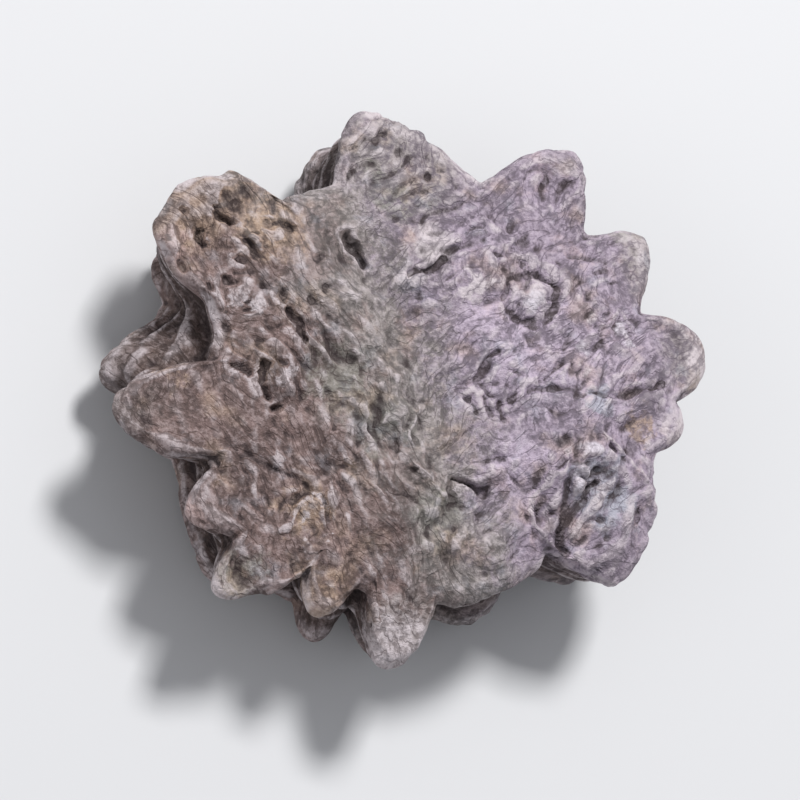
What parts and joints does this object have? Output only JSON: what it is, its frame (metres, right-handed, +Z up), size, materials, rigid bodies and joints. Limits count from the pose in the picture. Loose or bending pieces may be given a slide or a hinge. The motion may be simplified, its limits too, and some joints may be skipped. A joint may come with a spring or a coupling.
{
  "type": "gac seed",
  "caption": "Dried, flat, rounded gac seed with blunt teeth round both edges of its grooved rim and a raised net on its faces.",
  "frame": {"origin": "middle of the small flat spot that the seed rests on", "axes": "+Z up through the seed's thickness, +X along its longest extent towards its long-toothed side, +Y across it towards the broad blunt tooth"},
  "size_m": [0.0299, 0.0266, 0.0077],
  "materials": {
    "seed_coat": "matte"
  },
  "bodies": {
    "root": {"gac_seed": "seed_coat"}
  },
  "joints": []
}
